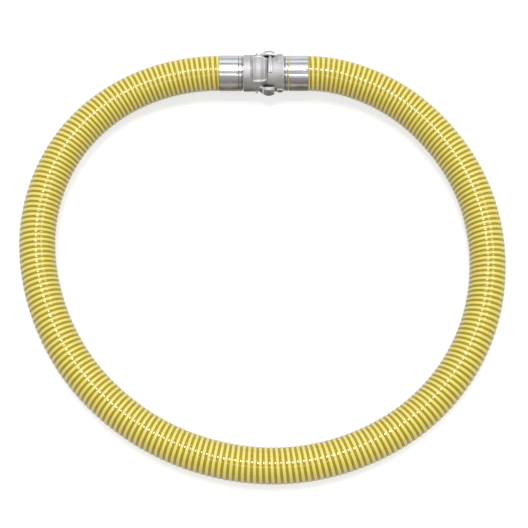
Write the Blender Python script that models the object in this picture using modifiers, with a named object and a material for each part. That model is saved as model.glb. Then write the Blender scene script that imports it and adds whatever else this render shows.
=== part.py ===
# PVC suction hose lying on the floor in a closed loop, its two ends joined by a symmetrical claw coupling.
# Metres, +Z up. The origin is on the floor under the coupling's mating plane. +X runs along the coupling,
# and the loop of hose lies towards -Y. "Depth" below is the distance from the mating plane along either half.
import math

import bmesh
import bpy
import numpy as np
from mathutils import Matrix, Vector

# Gaps between touching pieces
seat_gap = 0.0003         # pieces that bear on each other
ring_play = 0.0008        # locking ring round its neck
claw_play = 0.0010        # claw over the other half's ramps
nose_play = 0.0006        # claw's nose over the other half's ring

# Hose
hose_bore = 0.076
hose_outer = 0.090        # over the ribs
rib_height = 0.002
rib_pitch = 0.0130
hose_sides = 8
bore_steps = 42           # sections along the bore
hose_bite = 0.0004        # how far the ferrule presses the wall in below the valleys
lift_length = 0.36        # the hose climbs from the floor to the coupling over this length
route_spacing = 0.012     # between the points of its centre line
end_overshoot = 0.002     # cutters run this far past the hose's ends
join_depth = 0.001        # pieces that are joined run this far into each other

# Loop in plan, from the left fitting round to the right one
loop_points = [
    (-0.253, -0.019), (-0.371, -0.072), (-0.467, -0.160), (-0.530, -0.273), (-0.558, -0.400),
    (-0.550, -0.529), (-0.511, -0.653), (-0.446, -0.765), (-0.357, -0.859), (-0.249, -0.932),
    (-0.129, -0.979), (0.000, -0.999), (0.128, -0.989), (0.252, -0.949), (0.363, -0.882),
    (0.453, -0.789), (0.516, -0.676), (0.548, -0.550), (0.548, -0.421), (0.516, -0.295),
    (0.452, -0.182), (0.361, -0.088), (0.248, -0.026),
]

# Hose tail of the coupling
tail_fit = 0.0004         # tail inside the hose bore
tail_wall = 0.0051
tail_length = 0.059
barb_height = 0.0010
barb_count = 3
barb_margin = 0.004       # tail left plain at either end of its barbs

# Coupling body
seal_lip = 0.0020         # metal between bore and seal groove
seal_width = 0.0060
seal_depth = 0.0065
flange_wall = 0.0035      # metal outside the seal groove
flange_thickness = 0.0105
face_gap = 0.0005         # flange face to mating plane
neck_step = 0.0016        # neck above the tail
turned_steps = 24
sweep_step = math.radians(10)

# Locking ring
ring_wall = 0.0060
ring_length = 0.0375
ring_end_play = 0.0003
ramp_height = 0.0040
ramp_setback = 0.0025     # ring's front face to the ramp
ramp_thin = 0.0042        # ramp at its lead-in
ramp_rise = 0.0030        # what the ramp gains up to its thick end
ramp_angle = math.radians(112)
pad_height = 0.0025
pad_setback = 0.0233
pad_length = 0.0129
pad_lead = math.radians(38)       # thick end of the ramp to the pad
pad_angle = math.radians(83)
ring_edge = 0.001
wire_radius = 0.0011      # snap ring behind the locking ring
wire_sides = 6
wire_bite = 0.00066       # depth of its groove in the neck
wire_seat = 0.0002        # groove wider than the wire, each side
wire_land = 0.0006        # neck left behind the groove

# Claws
claw_thickness = 0.0075
claw_angle = math.radians(77)
claw_rise = 0.0065        # claw gains its full height this far past the mating plane
claw_root_height = 0.0080         # top of the root above the flange
claw_bevel = 0.0045
nose_length = 0.0077
nose_angle = math.radians(56)
nose_inset = 0.0005       # nose stops short of the claw's tip
tip_chamfer = 0.0030
engaged_angle = math.radians(48)  # of the ramp under the nose when locked

# Ferrules
ferrule_wall = 0.0019
ferrule_length = 0.0488
ferrule_setback = 0.0110  # end of the hose to the ferrule
ferrule_lip = 0.0006
ferrule_margin = 0.0006   # the wall stays pressed in this far past either edge

# Clocking about the coupling's own axis, seen along each half from the mating plane
right_claw_clock = math.radians(6.6)
left_claw_clock = math.radians(83.4)
right_ring_clock = math.radians(20)
left_ring_clock = math.radians(85)

# Radii that follow from the sizes above
tail_radius = hose_bore / 2 - tail_fit
bore_radius = tail_radius - tail_wall
seal_inner = bore_radius + seal_lip
seal_outer = seal_inner + seal_width
flange_radius = seal_outer + flange_wall
neck_radius = tail_radius + neck_step
ring_inner = neck_radius + ring_play
ring_outer = ring_inner + ring_wall
ramp_outer = ring_outer + ramp_height
pad_outer = ring_outer + pad_height
claw_inner = ramp_outer + claw_play
claw_outer = claw_inner + claw_thickness
claw_root = flange_radius + claw_root_height
nose_inner = ring_outer + nose_play
hose_radius = hose_outer / 2
valley_radius = hose_radius - rib_height
bitten_radius = valley_radius - hose_bite

# Depths that follow from the sizes above
flange_back = face_gap + flange_thickness
ring_front = flange_back + ring_end_play
ring_back = ring_front + ring_length
ramp_front = ring_front + ramp_setback
pad_front = ring_front + pad_setback
nose_face = ramp_front + ramp_thin + ramp_rise * engaged_angle / ramp_angle + seat_gap
claw_tip = nose_face + nose_length
wire_depth = ring_back + seat_gap + wire_radius
neck_end = wire_depth + wire_radius + wire_land
hose_start = neck_end + seat_gap
ferrule_start = hose_start + ferrule_setback
ferrule_end = ferrule_start + ferrule_length
bend_start = ferrule_end + ferrule_margin
axis_height = claw_outer

parts = None
tools = None


def clear_scene():
    for item in list(bpy.data.objects):
        bpy.data.objects.remove(item, do_unlink=True)


def new_collection(name):
    group = bpy.data.collections.new(name)
    bpy.context.scene.collection.children.link(group)
    return group


def paint(name, colour, roughness, metallic):
    material = bpy.data.materials.new(name)
    material.use_nodes = True
    shader = material.node_tree.nodes["Principled BSDF"]
    shader.inputs["Base Color"].default_value = (*colour, 1.0)
    shader.inputs["Roughness"].default_value = roughness
    shader.inputs["Metallic"].default_value = metallic
    return material


def add_part(name, mesh, material):
    item = bpy.data.objects.new(name, mesh)
    item.data.materials.append(material)
    parts.objects.link(item)
    return item


def add_tool(name, mesh):
    item = bpy.data.objects.new(name, mesh)
    item.hide_render = True
    item.display_type = "WIRE"
    tools.objects.link(item)
    return item


def profile_mesh(name, outline):
    # closed outline of (radius, depth) points in the XZ plane
    mesh = bpy.data.meshes.new(name)
    count = len(outline)
    corners = [(radius, 0, depth) for radius, depth in outline]
    mesh.from_pydata(corners, [(i, (i + 1) % count) for i in range(count)], [])
    return mesh


def turn(item, steps):
    screw = item.modifiers.new("turned", "SCREW")
    screw.axis = "Z"
    screw.angle = 2 * math.pi
    screw.steps = steps
    screw.render_steps = steps
    screw.use_merge_vertices = True
    screw.merge_threshold = 0.00001
    return screw


def boolean(item, operand, operation):
    step = item.modifiers.new(operand.name, "BOOLEAN")
    step.object = operand
    step.operation = operation
    step.solver = "EXACT"


def swept_mesh(name, outline, angle, rise=0.0, bevel_from=None):
    # outline of (radius, depth) points swept about Z, centred on +X
    steps = math.ceil(angle / sweep_step)
    shape = bmesh.new()
    verts = [shape.verts.new((radius, 0, depth)) for radius, depth in outline]
    face = shape.faces.new(verts)
    bmesh.ops.rotate(shape, verts=verts, cent=(0, 0, 0), matrix=Matrix.Rotation(-angle / 2, 3, "Z"))
    bmesh.ops.spin(shape, geom=[face], cent=(0, 0, 0), axis=(0, 0, 1), angle=angle, steps=steps)
    bmesh.ops.recalc_face_normals(shape, faces=shape.faces)
    back = max(depth for radius, depth in outline)
    for vert in shape.verts:
        if rise and vert.co.z > back - 0.0001:
            share = (math.atan2(vert.co.y, vert.co.x) + angle / 2) / angle
            vert.co.z += rise * share
    if bevel_from is not None:
        weight = shape.edges.layers.float.new("bevel_weight_edge")
        for edge in shape.edges:
            ends = [math.atan2(vert.co.y, vert.co.x) for vert in edge.verts]
            radii = [math.hypot(vert.co.x, vert.co.y) for vert in edge.verts]
            at_side = abs(ends[0] - ends[1]) < 0.001 and abs(abs(ends[0]) - angle / 2) < 0.001
            edge[weight] = 1.0 if at_side and min(radii) > bevel_from else 0.0
    mesh = bpy.data.meshes.new(name)
    shape.to_mesh(mesh)
    shape.free()
    return mesh


def smooth_shading(item):
    item.data.shade_smooth()
    item.data.set_sharp_from_angle(angle=math.radians(30))


def clamped_curve(points, first_direction, last_direction, spacing):
    # one smooth curve through the points, with its end directions given, read at even spacing
    known = np.array(points, dtype=float)
    chord = np.linalg.norm(np.diff(known, axis=0), axis=1)
    count = len(known)
    system = np.zeros((count, count))
    target = np.zeros((count, known.shape[1]))
    system[0, 0] = system[-1, -1] = 1.0
    target[0] = first_direction
    target[-1] = last_direction
    for i in range(1, count - 1):
        system[i, i - 1] = chord[i]
        system[i, i] = 2 * (chord[i - 1] + chord[i])
        system[i, i + 1] = chord[i - 1]
        slope_in = (known[i] - known[i - 1]) / chord[i - 1]
        slope_out = (known[i + 1] - known[i]) / chord[i]
        target[i] = 3 * (chord[i] * slope_in + chord[i - 1] * slope_out)
    slopes = np.linalg.solve(system, target)
    fine = []
    for i in range(count - 1):
        for t in np.linspace(0, 1, 60, endpoint=False):
            keep = (1 + 2 * t) * (1 - t) ** 2
            reach = t * t * (3 - 2 * t)
            leave = t * (1 - t) ** 2 * chord[i]
            arrive = t * t * (t - 1) * chord[i]
            fine.append(keep * known[i] + reach * known[i + 1] + leave * slopes[i] + arrive * slopes[i + 1])
    fine = np.array(fine + [known[-1]])
    run = np.concatenate([[0], np.cumsum(np.linalg.norm(np.diff(fine, axis=0), axis=1))])
    stations = np.linspace(0, run[-1], round(run[-1] / spacing) + 1)
    return np.stack([np.interp(stations, run, fine[:, k]) for k in range(known.shape[1])], axis=1)


def hose_route(spacing):
    # centre line of the hose from its left end to its right end
    plan = clamped_curve(
        [(-bend_start, 0.0)] + loop_points + [(bend_start, 0.0)], (-1, 0), (-1, 0), spacing)
    run = np.concatenate([[0], np.cumsum(np.linalg.norm(np.diff(plan, axis=0), axis=1))])
    from_end = np.minimum(run, run[-1] - run)
    climb = (1 + np.cos(np.pi * np.clip(from_end / lift_length, 0, 1))) / 2
    height = hose_radius + (axis_height - hose_radius) * climb
    straight = np.arange(hose_start, bend_start - route_spacing / 2, route_spacing)
    left = [(-x, 0, axis_height) for x in straight]
    right = [(x, 0, axis_height) for x in reversed(straight)]
    return np.array(left + [(x, y, z) for (x, y), z in zip(plan, height)] + right)


def route_length(route):
    return float(np.linalg.norm(np.diff(route, axis=0), axis=1).sum())


def stepped_profile(length):
    # outside of the straight hose: full size, but bitten in under each ferrule
    near = ferrule_start - hose_start - ferrule_margin
    far = ferrule_end - hose_start + ferrule_margin
    clear = hose_radius + 0.002
    return [
        (0, 0), (clear, 0), (clear, near), (bitten_radius, near), (bitten_radius, far), (clear, far),
        (clear, length - far), (bitten_radius, length - far), (bitten_radius, length - near),
        (clear, length - near), (clear, length), (0, length),
    ]


def ribbed_rod(length):
    # helical ribs: a shallow ridge one pitch long, screwed up the whole hose and closed at both ends
    turns = math.ceil(length / rib_pitch) + 2
    mesh = bpy.data.meshes.new("ribbed_rod")
    ridge = [(valley_radius, 0, 0), (hose_radius, 0, rib_pitch / 2), (valley_radius, 0, rib_pitch)]
    mesh.from_pydata(ridge, [(0, 1), (1, 2)], [])
    rod = add_tool("ribbed_rod", mesh)
    screw = turn(rod, hose_sides)
    screw.screw_offset = rib_pitch
    screw.iterations = turns
    screw.use_merge_vertices = False
    weld = rod.modifiers.new("weld", "WELD")
    weld.merge_threshold = 0.00001
    bpy.context.view_layer.update()
    closed = bpy.data.meshes.new_from_object(rod.evaluated_get(bpy.context.evaluated_depsgraph_get()))
    bpy.data.objects.remove(rod, do_unlink=True)
    shape = bmesh.new()
    shape.from_mesh(closed)
    bmesh.ops.remove_doubles(shape, verts=shape.verts, dist=0.00001)
    bmesh.ops.holes_fill(shape, edges=shape.edges)
    bmesh.ops.triangulate(shape, faces=[face for face in shape.faces if len(face.verts) > 4])
    bmesh.ops.recalc_face_normals(shape, faces=shape.faces)
    bmesh.ops.translate(shape, verts=shape.verts, vec=(0, 0, -rib_pitch * 1.5))
    shape.to_mesh(closed)
    shape.free()
    return closed


def bore_mesh(length):
    # bore with sections along its length so that it can bend
    shape = bmesh.new()
    for z in np.linspace(-end_overshoot, length + end_overshoot, bore_steps):
        ring = bmesh.ops.create_circle(shape, segments=hose_sides, radius=hose_bore / 2)["verts"]
        bmesh.ops.translate(shape, verts=ring, vec=(0, 0, z))
    bmesh.ops.bridge_loops(shape, edges=list(shape.edges))
    bmesh.ops.holes_fill(shape, edges=shape.edges)
    bmesh.ops.recalc_face_normals(shape, faces=shape.faces)
    mesh = bpy.data.meshes.new("bore")
    shape.to_mesh(mesh)
    shape.free()
    return mesh


def socket_mesh(middle):
    # rounder stretch of the bore that takes a coupling's tail
    shape = bmesh.new()
    radius = hose_bore / 2 / math.cos(math.pi / turned_steps)
    depth = 2 * (tail_length + end_overshoot)
    bmesh.ops.create_cone(
        shape, cap_ends=True, segments=turned_steps, radius1=radius, radius2=radius, depth=depth,
        matrix=Matrix.Translation((0, 0, middle)))
    mesh = bpy.data.meshes.new("socket")
    shape.to_mesh(mesh)
    shape.free()
    return mesh


def route_guide(route):
    data = bpy.data.curves.new("hose_guide", "CURVE")
    data.dimensions = "3D"
    data.twist_mode = "Z_UP"
    spline = data.splines.new("POLY")
    spline.points.add(len(route) - 1)
    for point, place in zip(spline.points, route):
        point.co = (*place, 1.0)
    return add_tool("hose_guide", data)


def make_hose(material):
    route = hose_route(route_spacing)
    length = route_length(route)
    hose = add_part("hose", ribbed_rod(length), material)
    envelope = add_tool("hose_envelope", bpy.data.meshes.new("hose_envelope"))
    outline = stepped_profile(length)
    edges = [(i, i + 1) for i in range(len(outline) - 1)]
    envelope.data.from_pydata([(radius, 0, depth) for radius, depth in reversed(outline)], edges, [])
    turn(envelope, turned_steps)
    boolean(hose, envelope, "INTERSECT")
    boolean(hose, add_tool("hose_bore", bore_mesh(length)), "DIFFERENCE")
    boolean(hose, add_tool("left_socket", socket_mesh(0)), "DIFFERENCE")
    boolean(hose, add_tool("right_socket", socket_mesh(length)), "DIFFERENCE")
    bend = hose.modifiers.new("laid", "CURVE")
    bend.object = route_guide(route)
    bend.deform_axis = "POS_Z"
    return hose


def body_outline():
    barb_step = (tail_length - 2 * barb_margin) / barb_count
    low = tail_radius - barb_height
    back = neck_end + tail_length
    points = [
        (bore_radius, face_gap), (bore_radius, back), (low, back),
    ]
    for i in range(barb_count):
        crest = back - barb_margin - barb_step * i
        points += [(tail_radius, crest), (low, crest - barb_height)]
    groove = wire_radius + wire_seat
    neck_cut = neck_radius - wire_bite
    points += [
        (low, neck_end), (neck_radius, neck_end),
        (neck_radius, wire_depth + groove), (neck_cut, wire_depth + groove),
        (neck_cut, wire_depth - groove), (neck_radius, wire_depth - groove),
        (neck_radius, flange_back), (flange_radius, flange_back), (flange_radius, face_gap),
        (seal_outer, face_gap), (seal_outer, face_gap + seal_depth),
        (seal_inner, face_gap + seal_depth), (seal_inner, face_gap),
    ]
    return points


def claw_outline():
    # depths past the mating plane are negative: the claw reaches over the other half
    foot = flange_radius - join_depth
    front = face_gap + join_depth
    return [
        (foot, flange_back), (claw_root, flange_back), (claw_outer, -claw_rise),
        (claw_outer, tip_chamfer - claw_tip), (claw_outer - tip_chamfer, -claw_tip),
        (claw_inner, -claw_tip), (claw_inner, front), (foot, front),
    ]


def nose_outline():
    root = claw_inner + join_depth
    tip = nose_inset - claw_tip
    return [(nose_inner, -nose_face), (root, -nose_face), (root, tip), (nose_inner, tip)]


def make_body(side, material, place, clock):
    body = add_part(side + "_coupling_body", profile_mesh(side + "_body", body_outline()), material)
    body.matrix_world = place @ Matrix.Rotation(clock, 4, "Z")
    turn(body, turned_steps)
    for i in range(2):
        spot = body.matrix_world @ Matrix.Rotation(math.pi * i, 4, "Z")
        label = "%s_claw_%d" % (side, i + 1)
        claw = add_tool(label, swept_mesh(label, claw_outline(), claw_angle, bevel_from=claw_inner))
        claw.matrix_world = spot
        bevel = claw.modifiers.new("bevel", "BEVEL")
        bevel.limit_method = "WEIGHT"
        bevel.width = claw_bevel
        bevel.segments = 1
        label = "%s_nose_%d" % (side, i + 1)
        nose = add_tool(label, swept_mesh(label, nose_outline(), nose_angle))
        nose.matrix_world = spot
        boolean(body, claw, "UNION")
        boolean(body, nose, "UNION")
    return body


def ring_outline():
    shoulder = ring_outer - ring_edge
    return [
        (ring_inner, ring_front), (ring_inner, ring_back), (shoulder, ring_back),
        (ring_outer, ring_back - ring_edge), (ring_outer, ring_front + ring_edge), (shoulder, ring_front),
    ]


def band_outline(outer, front, back):
    inner = ring_outer - join_depth
    return [(inner, front), (inner, back), (outer, back), (outer, front)]


def make_ring(side, material, place, clock):
    ring = add_part(side + "_lock_ring", profile_mesh(side + "_ring", ring_outline()), material)
    ring.matrix_world = place @ Matrix.Rotation(clock, 4, "Z")
    turn(ring, turned_steps)
    ramp = band_outline(ramp_outer, ramp_front, ramp_front + ramp_thin)
    pad = band_outline(pad_outer, pad_front, pad_front + pad_length)
    for i in range(2):
        half_turn = Matrix.Rotation(math.pi * i, 4, "Z")
        label = "%s_ramp_%d" % (side, i + 1)
        band = add_tool(label, swept_mesh(label, ramp, ramp_angle, rise=ramp_rise))
        band.matrix_world = ring.matrix_world @ half_turn @ Matrix.Rotation(-ramp_angle / 2, 4, "Z")
        boolean(ring, band, "UNION")
        label = "%s_pad_%d" % (side, i + 1)
        band = add_tool(label, swept_mesh(label, pad, pad_angle))
        middle = -pad_lead - pad_angle / 2
        band.matrix_world = ring.matrix_world @ half_turn @ Matrix.Rotation(middle, 4, "Z")
        boolean(ring, band, "UNION")
    return ring


def make_ferrule(side, material, place):
    inner = (bitten_radius + seat_gap) / math.cos(math.pi / turned_steps)
    outer = inner + ferrule_wall
    outline = [
        (inner, ferrule_start), (inner, ferrule_end), (outer - ferrule_lip, ferrule_end),
        (outer, ferrule_end - ferrule_lip), (outer, ferrule_start + ferrule_lip),
        (outer - ferrule_lip, ferrule_start),
    ]
    ferrule = add_part(side + "_ferrule", profile_mesh(side + "_ferrule", outline), material)
    ferrule.matrix_world = place
    turn(ferrule, turned_steps)
    return ferrule


def make_seal(side, material, place):
    inner = seal_inner + seat_gap
    outer = seal_outer - seat_gap
    front = seat_gap / 2
    back = face_gap + seal_depth - seat_gap
    outline = [(inner, front), (inner, back), (outer, back), (outer, front)]
    seal = add_part(side + "_seal", profile_mesh(side + "_seal", outline), material)
    seal.matrix_world = place
    turn(seal, turned_steps)
    return seal


def make_snap_ring(side, material, place):
    centre = neck_radius - wire_bite + seat_gap + wire_radius
    outline = []
    for i in range(wire_sides):
        turn_by = math.tau * i / wire_sides
        outline.append((centre + wire_radius * math.cos(turn_by), wire_depth - wire_radius * math.sin(turn_by)))
    wire = add_part(side + "_snap_ring", profile_mesh(side + "_snap_ring", outline), material)
    wire.matrix_world = place
    turn(wire, turned_steps)
    return wire


def side_place(sign):
    # local Z runs outwards along the half and local X points up
    along = Vector((sign, 0, 0))
    up = Vector((0, 0, 1))
    across = along.cross(up)
    frame = Matrix((up, across, along)).transposed().to_4x4()
    return Matrix.Translation((0, 0, axis_height)) @ frame


def main():
    global parts, tools
    clear_scene()
    parts = new_collection("suction_hose")
    tools = new_collection("cutters")
    wall = paint("yellow_hose_wall", (0.74, 0.62, 0.10), 0.25, 0.0)
    cast = paint("cast_aluminium", (0.60, 0.60, 0.62), 0.38, 1.0)
    steel = paint("ferrule_steel", (0.72, 0.72, 0.74), 0.18, 1.0)
    spring = paint("spring_wire", (0.45, 0.45, 0.46), 0.35, 1.0)
    rubber = paint("black_rubber", (0.02, 0.02, 0.02), 0.6, 0.0)
    make_hose(wall)
    for side, sign, claw_clock, ring_clock in (
            ("left", -1, left_claw_clock, left_ring_clock), ("right", 1, right_claw_clock, right_ring_clock)):
        place = side_place(sign)
        make_ferrule(side, steel, place)
        make_body(side, cast, place, claw_clock)
        make_ring(side, cast, place, ring_clock)
        clocked = place @ Matrix.Rotation(claw_clock, 4, "Z")
        make_seal(side, rubber, clocked)
        make_snap_ring(side, spring, clocked)
    for item in parts.objects:
        smooth_shading(item)


main()
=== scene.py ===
import math

import bmesh
import bpy
import numpy as np
from mathutils import Matrix, Vector


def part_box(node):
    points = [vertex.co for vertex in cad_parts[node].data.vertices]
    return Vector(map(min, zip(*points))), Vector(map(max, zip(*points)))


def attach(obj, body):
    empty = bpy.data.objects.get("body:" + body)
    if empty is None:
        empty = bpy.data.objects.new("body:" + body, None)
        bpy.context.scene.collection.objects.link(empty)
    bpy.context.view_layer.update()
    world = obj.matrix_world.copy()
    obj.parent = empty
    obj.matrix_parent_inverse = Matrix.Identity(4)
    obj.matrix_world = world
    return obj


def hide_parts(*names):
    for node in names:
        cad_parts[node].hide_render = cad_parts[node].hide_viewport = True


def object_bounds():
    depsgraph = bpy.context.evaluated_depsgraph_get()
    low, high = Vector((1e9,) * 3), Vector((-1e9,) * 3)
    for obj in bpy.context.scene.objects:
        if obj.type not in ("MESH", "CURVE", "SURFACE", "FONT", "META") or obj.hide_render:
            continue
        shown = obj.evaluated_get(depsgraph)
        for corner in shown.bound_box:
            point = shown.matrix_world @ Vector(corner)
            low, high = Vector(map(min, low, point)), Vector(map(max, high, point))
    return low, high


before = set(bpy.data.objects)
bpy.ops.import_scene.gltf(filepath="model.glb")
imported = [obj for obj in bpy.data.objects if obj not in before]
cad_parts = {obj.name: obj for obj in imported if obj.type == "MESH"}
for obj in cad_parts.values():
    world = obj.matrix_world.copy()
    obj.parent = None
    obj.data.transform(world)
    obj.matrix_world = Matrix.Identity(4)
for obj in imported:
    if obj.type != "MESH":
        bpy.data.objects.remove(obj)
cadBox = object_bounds()
print("stage: frame loaded,", len(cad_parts), "solids")

# Sizes are in metres and angles in degrees, unless a note says otherwise
sides = ("left", "right")

# The picture is square, so the sensor's width serves both ways
cameraSetup = {
    "target": (0.001, -0.498, 0.045),
    "elevation": 74.0,        # above the floor, looking along +Y
    "distance": 4.5,
    "lens": 124.6,            # mm, on a 36 mm sensor
}


def placeCamera(setup):
    lift = math.radians(setup["elevation"])
    back = Vector((0, -math.cos(lift), math.sin(lift)))
    data = bpy.data.cameras.new("camera")
    data.lens = setup["lens"]
    camera = bpy.data.objects.new("camera", data)
    camera.location = Vector(setup["target"]) + back * setup["distance"]
    camera.rotation_euler = (-back).to_track_quat("-Z", "Y").to_euler()
    bpy.context.scene.collection.objects.link(camera)
    bpy.context.scene.camera = camera


placeCamera(cameraSetup)
print("stage: camera placed")

lowCorner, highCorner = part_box("left_ferrule")
axisHeight = (lowCorner.z + highCorner.z) / 2     # of the coupling, above the floor

routeSetup = {
    "startDepth": 0.0522,     # from the mating plane to the cut ends of the hose
    "bendStart": 0.1126,      # the hose is straight from the coupling to here
    "liftLength": 0.36,       # it climbs from the floor to the coupling over this length
    "floorHeight": 0.045,     # centre line where the hose lies on the floor
    "spacing": 0.003,
    "curveSteps": 60,         # between two points of the loop
    "pathEvery": 3,           # the cord's path keeps every third point of the line
    "endLean": 0.004,         # and its ends lean this far towards the wall of the hollow tails
    # the loop in plan, from the left fitting round to the right one, as in the part
    "loopPoints": [
        (-0.253, -0.019), (-0.371, -0.072), (-0.467, -0.160), (-0.530, -0.273), (-0.558, -0.400),
        (-0.550, -0.529), (-0.511, -0.653), (-0.446, -0.765), (-0.357, -0.859), (-0.249, -0.932),
        (-0.129, -0.979), (0.000, -0.999), (0.128, -0.989), (0.252, -0.949), (0.363, -0.882),
        (0.453, -0.789), (0.516, -0.676), (0.548, -0.550), (0.548, -0.421), (0.516, -0.295),
        (0.452, -0.182), (0.361, -0.088), (0.248, -0.026),
    ],
}


def clampedCurve(points, firstDirection, lastDirection, steps):
    # one smooth curve through the points, with the directions of its two ends given
    known = np.array(points, dtype=float)
    chord = np.linalg.norm(np.diff(known, axis=0), axis=1)
    count = len(known)
    system = np.zeros((count, count))
    target = np.zeros((count, 2))
    system[0, 0] = system[-1, -1] = 1.0
    target[0], target[-1] = firstDirection, lastDirection
    for i in range(1, count - 1):
        system[i, i - 1:i + 2] = chord[i], 2 * (chord[i - 1] + chord[i]), chord[i - 1]
        slopeIn = (known[i] - known[i - 1]) / chord[i - 1]
        slopeOut = (known[i + 1] - known[i]) / chord[i]
        target[i] = 3 * (chord[i] * slopeIn + chord[i - 1] * slopeOut)
    slopes = np.linalg.solve(system, target)
    fine = []
    for i in range(count - 1):
        for t in np.linspace(0, 1, steps, endpoint=False):
            keep, reach = (1 + 2 * t) * (1 - t) ** 2, t * t * (3 - 2 * t)
            leave, arrive = t * (1 - t) ** 2 * chord[i], t * t * (t - 1) * chord[i]
            fine.append(keep * known[i] + reach * known[i + 1] + leave * slopes[i] + arrive * slopes[i + 1])
    return np.array(fine + [known[-1]])


def runAlong(points):
    return np.concatenate([[0], np.cumsum(np.linalg.norm(np.diff(points, axis=0), axis=1))])


def spread(points, spacing):
    run = runAlong(points)
    stations = np.linspace(0, run[-1], round(run[-1] / spacing) + 1)
    return np.stack([np.interp(stations, run, points[:, k]) for k in range(points.shape[1])], axis=1)


def hoseRoute(setup):
    # centre line of the hose from its left end to its right end
    bendStart = setup["bendStart"]
    corners = [(-bendStart, 0.0)] + setup["loopPoints"] + [(bendStart, 0.0)]
    plan = spread(clampedCurve(corners, (-1, 0), (-1, 0), setup["curveSteps"]), setup["spacing"])
    run = runAlong(plan)
    fromEnd = np.minimum(run, run[-1] - run)
    climb = (1 + np.cos(np.pi * np.clip(fromEnd / setup["liftLength"], 0, 1))) / 2
    height = setup["floorHeight"] + (axisHeight - setup["floorHeight"]) * climb
    laid = np.column_stack([plan, height])
    end = (setup["startDepth"], 0.0, axisHeight)
    return spread(np.array([(-end[0], 0.0, axisHeight), *laid, end]), setup["spacing"])


class HoseLine:
    # places a point at a distance along the hose, a turn about it and a distance from its centre line
    def __init__(self, route):
        self.points = route
        self.run = runAlong(route)
        self.length = self.run[-1]
        along = np.gradient(route, self.run, axis=0)
        along /= np.linalg.norm(along, axis=1)[:, None]
        side = np.cross(along, (0, 0, 1))
        side /= np.linalg.norm(side, axis=1)[:, None]
        self.up = np.cross(side, along)
        self.across = np.cross(along, self.up)

    def read(self, table, distance):
        return np.stack([np.interp(distance, self.run, table[:, k]) for k in range(3)], axis=-1)

    def place(self, distance, turn, radius):
        outward = np.cos(turn)[..., None] * self.read(self.up, distance)
        outward += np.sin(turn)[..., None] * self.read(self.across, distance)
        return self.read(self.points, distance) + outward * np.asarray(radius)[..., None]


hoseSetup = {
    "outerRadius": 0.045,     # over the ribs
    "ribHeight": 0.0010,      # above the wall beside them
    "boreRadius": 0.038,
    "pitchNear": 0.01245,     # rib spacing beside the coupling
    "pitchFar": 0.01360,      # rib spacing on the far side of the loop
    "ribShare": 0.61,         # of one pitch
    # lines of a rib's half section, as shares of its half width
    "ribAcross": (0, 0.3, 0.6, 0.84, 0.95, 1),
    "ribCrown": 0.32,         # its top falls off by this share of its height
    "ribRoot": 0.0007,        # ribs are rooted this deep in the wall
    "valleyDip": 0.0004,      # the wall sinks this far between two ribs
    "stepsRound": 36,
    "bareLeft": 0.0240,       # ribs start this far from the cut end
    "bareRight": 0.0078,
    "endTaper": 0.0015,       # and reach full height over this length
    "pressedRadius": 0.0426,  # wall as pressed in by a sleeve
    "swell": 0.0030,          # it swells to full size over this length beside a sleeve
    "wallBelow": 0.0001,      # there it stays this far under the pressed ribs
    "valleyLines": 5,         # of the wall between two ribs
    "valleyStart": 0.24,      # the first lies under a rib's side, this share of a pitch from its middle
    "valleyFade": 0.24,       # and painted shade darkens the wall from the middle of the valley over this share
    "boreSteps": 260,
}

sleeveSetup = {
    "start": 0.0636,          # from the mating plane
    "end": 0.1120,
    # rolled collar between the locking ring and the sleeve, (radius, depth)
    "collar": [
        (0.0445, 0.0524), (0.0447, 0.0527), (0.0447, 0.0532), (0.0433, 0.0534), (0.0432, 0.0556),
        (0.0448, 0.0560), (0.0449, 0.0566), (0.0449, 0.0614), (0.0446, 0.0622), (0.0436, 0.0624),
    ],
    "collarEnd": {"left": 0.0637, "right": 0.0617},
    "innerRadius": 0.0429,
    "outerRadius": 0.0450,
    "edgeRound": 0.0009,
    "dies": 12,               # jaws of the press, which leave shallow flats with a low seam between two
    "flatDepth": 0.00016,
    "seamHeight": 0.00020,
    "seamWidth": 0.035,       # radians
    "firstSeam": 7.0,         # about the axis, from upwards
    "roundShares": (0, 0.3, 0.6, 0.85, 1),     # of the quarter turn of a rounded edge
    "stepsRound": 288,
    "collarSteps": 144,
}


def addPiece(name, verts, faces, material=None):
    mesh = bpy.data.meshes.new(name)
    mesh.from_pydata([tuple(v) for v in verts], [], [tuple(f) for f in faces])
    mesh.update()
    piece = bpy.data.objects.new(name, mesh)
    bpy.context.scene.collection.objects.link(piece)
    mesh.shade_smooth()
    if material:
        mesh.materials.append(material)
    return piece


def windingTable(line, setup):
    # how many ribs lie before each point of the hose: they stand wider apart on the far side of the loop
    share = line.run / line.length
    near, far = setup["pitchNear"], setup["pitchFar"]
    pitch = near + (far - near) * (1 - np.cos(2 * np.pi * share)) / 2
    return np.concatenate([[0], np.cumsum(np.diff(line.run) / ((pitch[1:] + pitch[:-1]) / 2))])


def pressedLimit(line, setup, distance):
    # largest radius that the sleeves at both ends leave to the hose
    near = np.minimum(distance, line.length - distance) + routeSetup["startDepth"]
    room = np.sin(np.pi / 2 * np.clip((near - sleeveSetup["end"]) / setup["swell"], 0, 1))
    return setup["pressedRadius"] + (setup["outerRadius"] - setup["pressedRadius"]) * room


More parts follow.
